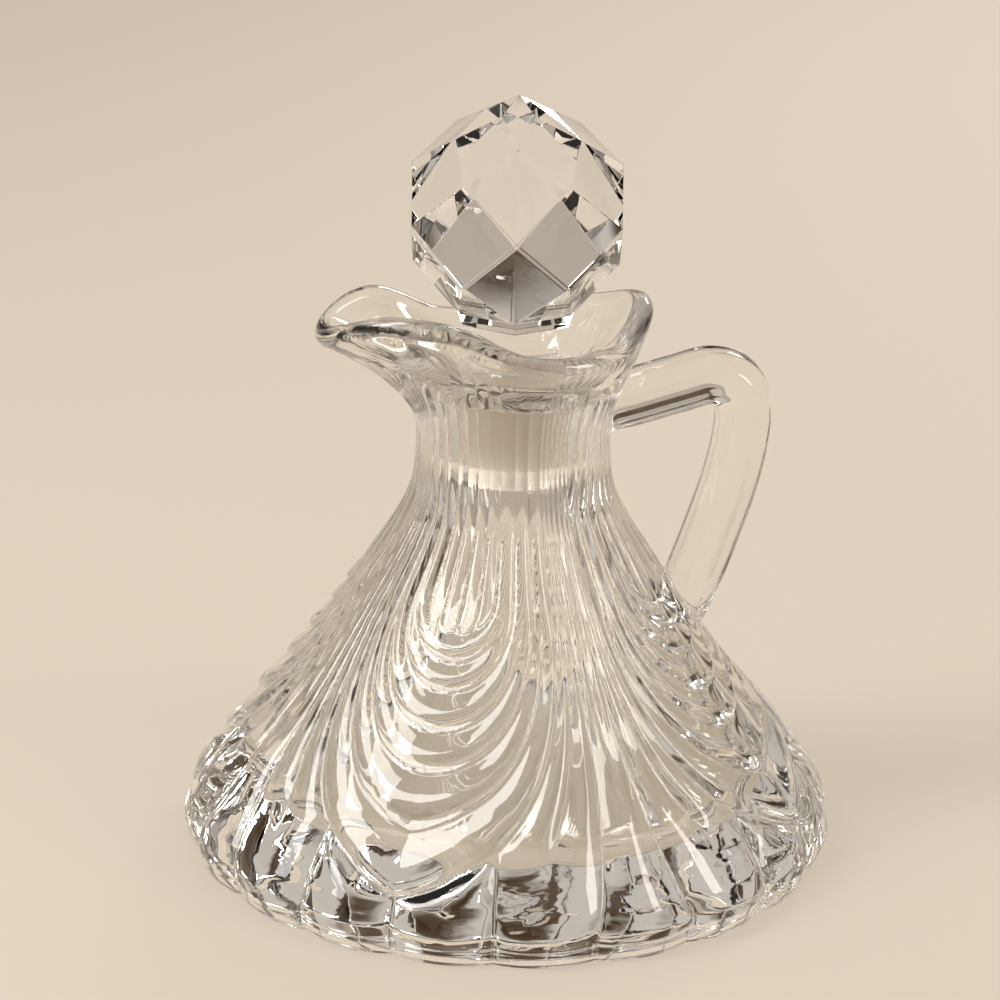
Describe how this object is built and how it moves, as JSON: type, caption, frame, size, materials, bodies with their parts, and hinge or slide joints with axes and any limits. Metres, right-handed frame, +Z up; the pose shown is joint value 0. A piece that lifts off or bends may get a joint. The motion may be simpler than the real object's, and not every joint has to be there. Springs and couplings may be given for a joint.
{
  "type": "oil and vinegar cruet",
  "caption": "Wide pressed-glass cruet for oil or vinegar, with draped swags, a lobed rim, a panelled handle, a pouring lip and a lift-out cut ball stopper.",
  "frame": {"origin": "centre of the flat foot, on the vertical axis of the vessel and stopper", "axes": "+Z up along the axis, +X toward the handle, -X toward the pouring spout, +Y by the right-hand rule"},
  "size_m": [0.1209, 0.121, 0.1411],
  "materials": {
    "vessel_glass": "pressed and fire-polished clear glass, frosted in the ground bore",
    "handle_glass": "fire-polished clear glass",
    "stopper_glass": "cut and polished clear glass, frosted on the ground plug"
  },
  "bodies": {
    "cruet": {"vessel": "vessel_glass", "handle": "handle_glass"},
    "stopper": {"stopper": "stopper_glass"}
  },
  "joints": [
    {"name": "stopper_lift", "type": "slide", "parent": "cruet", "child": "stopper", "axis": [0, 0, 1], "range_m": [0, 0.042]}
  ]
}
